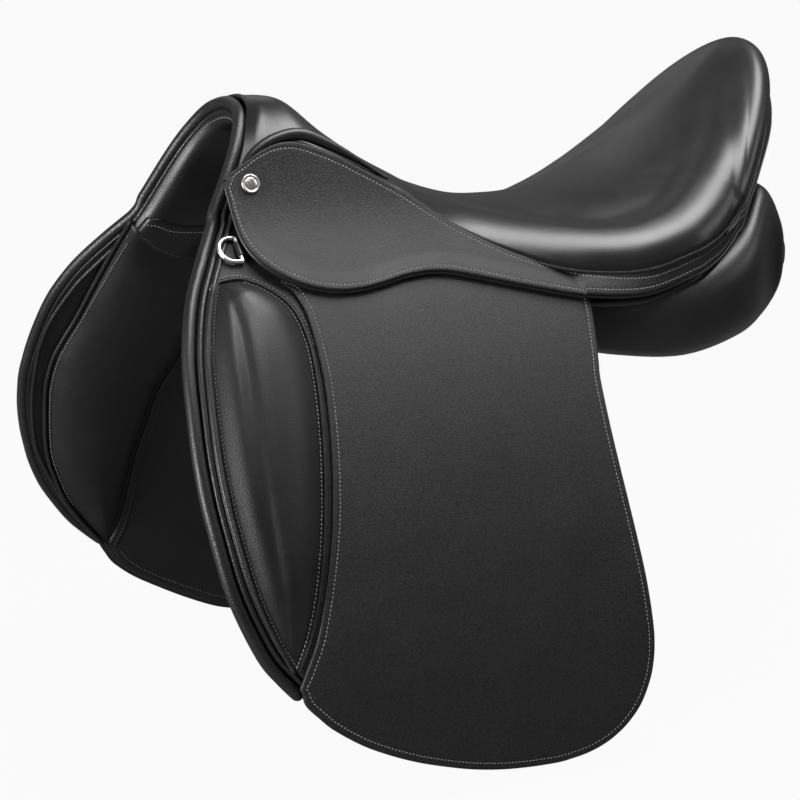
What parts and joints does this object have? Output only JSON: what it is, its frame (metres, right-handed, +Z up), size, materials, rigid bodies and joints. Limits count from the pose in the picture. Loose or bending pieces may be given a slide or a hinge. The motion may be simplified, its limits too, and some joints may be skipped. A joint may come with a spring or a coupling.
{
  "type": "dressage saddle",
  "caption": "Black leather dressage saddle with a deep seat, long lifting flaps, knee blocks, skirts over stirrup bars and stuffed panels.",
  "frame": {"origin": "on the middle plane, straight below the lowest point of the seat, at the level where the panels bear on the back", "axes": "+X forward to the pommel, +Y to the horse's left, +Z up"},
  "size_m": [0.5393, 0.438, 0.4638],
  "materials": {
    "smooth_leather": "smooth black leather, semi-gloss",
    "grained_leather": "black leather with a fine pebble grain, matte",
    "stuffed_leather": "black leather over soft stuffing, taken as one light solid",
    "beech": "laminated beech, sealed",
    "steel": "forged and zinc plated",
    "nickel": "polished nickel plate",
    "web": "woven web",
    "foam": "open-cell foam"
  },
  "bodies": {
    "saddle": {"tree_head": "beech", "tree_rail_left": "beech", "tree_rail_right": "beech", "tree_cantle": "beech", "gullet_plate": "steel", "tree_rivets": "steel", "seat_springs": "steel", "seat_webbing": "web", "seat_foam": "foam", "seat_cover": "smooth_leather", "seat_welt": "smooth_leather", "cantle_band": "smooth_leather", "cantle_welt": "smooth_leather", "pommel_welt": "grained_leather", "front_roll": "grained_leather", "pommel_facing": "smooth_leather", "gullet_lining": "smooth_leather", "gullet_piping": "smooth_leather", "channel_lining": "smooth_leather", "skirt_roll_left": "grained_leather", "skirt_roll_right": "grained_leather", "skirt_top_left": "grained_leather", "skirt_top_right": "grained_leather", "studs": "nickel", "stirrup_bar_left": "steel", "stirrup_bar_right": "steel", "catch_pins": "steel", "dee_chape_left": "smooth_leather", "dee_chape_right": "smooth_leather", "flap_head_left": "grained_leather", "flap_head_right": "grained_leather", "sweat_flap_left": "smooth_leather", "sweat_flap_right": "smooth_leather", "forepart_left": "stuffed_leather", "forepart_right": "stuffed_leather", "panel_cushion_left": "stuffed_leather", "panel_cushion_right": "stuffed_leather"},
    "flap_left": {"flap_base_left": "grained_leather", "flap_panel_left": "grained_leather", "knee_block_left": "stuffed_leather", "flap_piping_left": "grained_leather"},
    "skirt_left": {"skirt_flap_left": "grained_leather"},
    "dee_left": {"dee_ring_left": "nickel"},
    "catch_left": {"stirrup_catch_left": "steel"},
    "strap_front_left": {"girth_strap_front_left": "smooth_leather"},
    "strap_rear_left": {"girth_strap_rear_left": "smooth_leather"},
    "flap_right": {"flap_base_right": "grained_leather", "flap_panel_right": "grained_leather", "knee_block_right": "stuffed_leather", "flap_piping_right": "grained_leather"},
    "skirt_right": {"skirt_flap_right": "grained_leather"},
    "dee_right": {"dee_ring_right": "nickel"},
    "catch_right": {"stirrup_catch_right": "steel"},
    "strap_front_right": {"girth_strap_front_right": "smooth_leather"},
    "strap_rear_right": {"girth_strap_rear_right": "smooth_leather"}
  },
  "joints": [
    {"name": "flap_lift_left", "type": "hinge", "parent": "saddle", "child": "flap_left", "pos_m": [0.1295, 0.1206, 0.03627], "axis": [0.9939, -0.0668, 0.0881], "range_deg": [0, 75]},
    {"name": "flap_lift_right", "type": "hinge", "parent": "saddle", "child": "flap_right", "pos_m": [0.1295, -0.1206, 0.03627], "axis": [-0.9939, -0.0668, -0.0881], "range_deg": [0, 75]},
    {"name": "skirt_lift_left", "type": "hinge", "parent": "saddle", "child": "skirt_left", "pos_m": [0.1, 0.10354, 0.06611], "axis": [0.959, -0.1833, 0.2161], "range_deg": [0, 65]},
    {"name": "skirt_lift_right", "type": "hinge", "parent": "saddle", "child": "skirt_right", "pos_m": [0.1, -0.10354, 0.06611], "axis": [-0.959, -0.1833, -0.2161], "range_deg": [0, 65]},
    {"name": "dee_swing_left", "type": "hinge", "parent": "saddle", "child": "dee_left", "pos_m": [0.221, 0.09187, 0.07472], "axis": [0, -0.6821, 0.7313], "range_deg": [0, 95]},
    {"name": "dee_swing_right", "type": "hinge", "parent": "saddle", "child": "dee_right", "pos_m": [0.221, -0.09187, 0.07472], "axis": [0, -0.6821, -0.7313], "range_deg": [0, 95]},
    {"name": "catch_turn_left", "type": "hinge", "parent": "saddle", "child": "catch_left", "pos_m": [0.155, 0.0938, 0.06819], "axis": [0, 0.7401, 0.6725], "range_deg": [0, 80]},
    {"name": "catch_turn_right", "type": "hinge", "parent": "saddle", "child": "catch_right", "pos_m": [0.155, -0.0938, 0.06819], "axis": [0, 0.7401, -0.6725], "range_deg": [0, 80]},
    {"name": "strap_front_swing_left", "type": "hinge", "parent": "saddle", "child": "strap_front_left", "pos_m": [0.128, 0.11825, 0.03071], "axis": [0, 0.8009, 0.5987], "range_deg": [-4, 4]},
    {"name": "strap_front_swing_right", "type": "hinge", "parent": "saddle", "child": "strap_front_right", "pos_m": [0.128, -0.11825, 0.03071], "axis": [0, 0.8009, -0.5987], "range_deg": [-4, 4]},
    {"name": "strap_rear_swing_left", "type": "hinge", "parent": "saddle", "child": "strap_rear_left", "pos_m": [0.062, 0.11825, 0.03071], "axis": [0, 0.8009, 0.5987], "range_deg": [-4, 4]},
    {"name": "strap_rear_swing_right", "type": "hinge", "parent": "saddle", "child": "strap_rear_right", "pos_m": [0.062, -0.11825, 0.03071], "axis": [0, 0.8009, -0.5987], "range_deg": [-4, 4]}
  ]
}
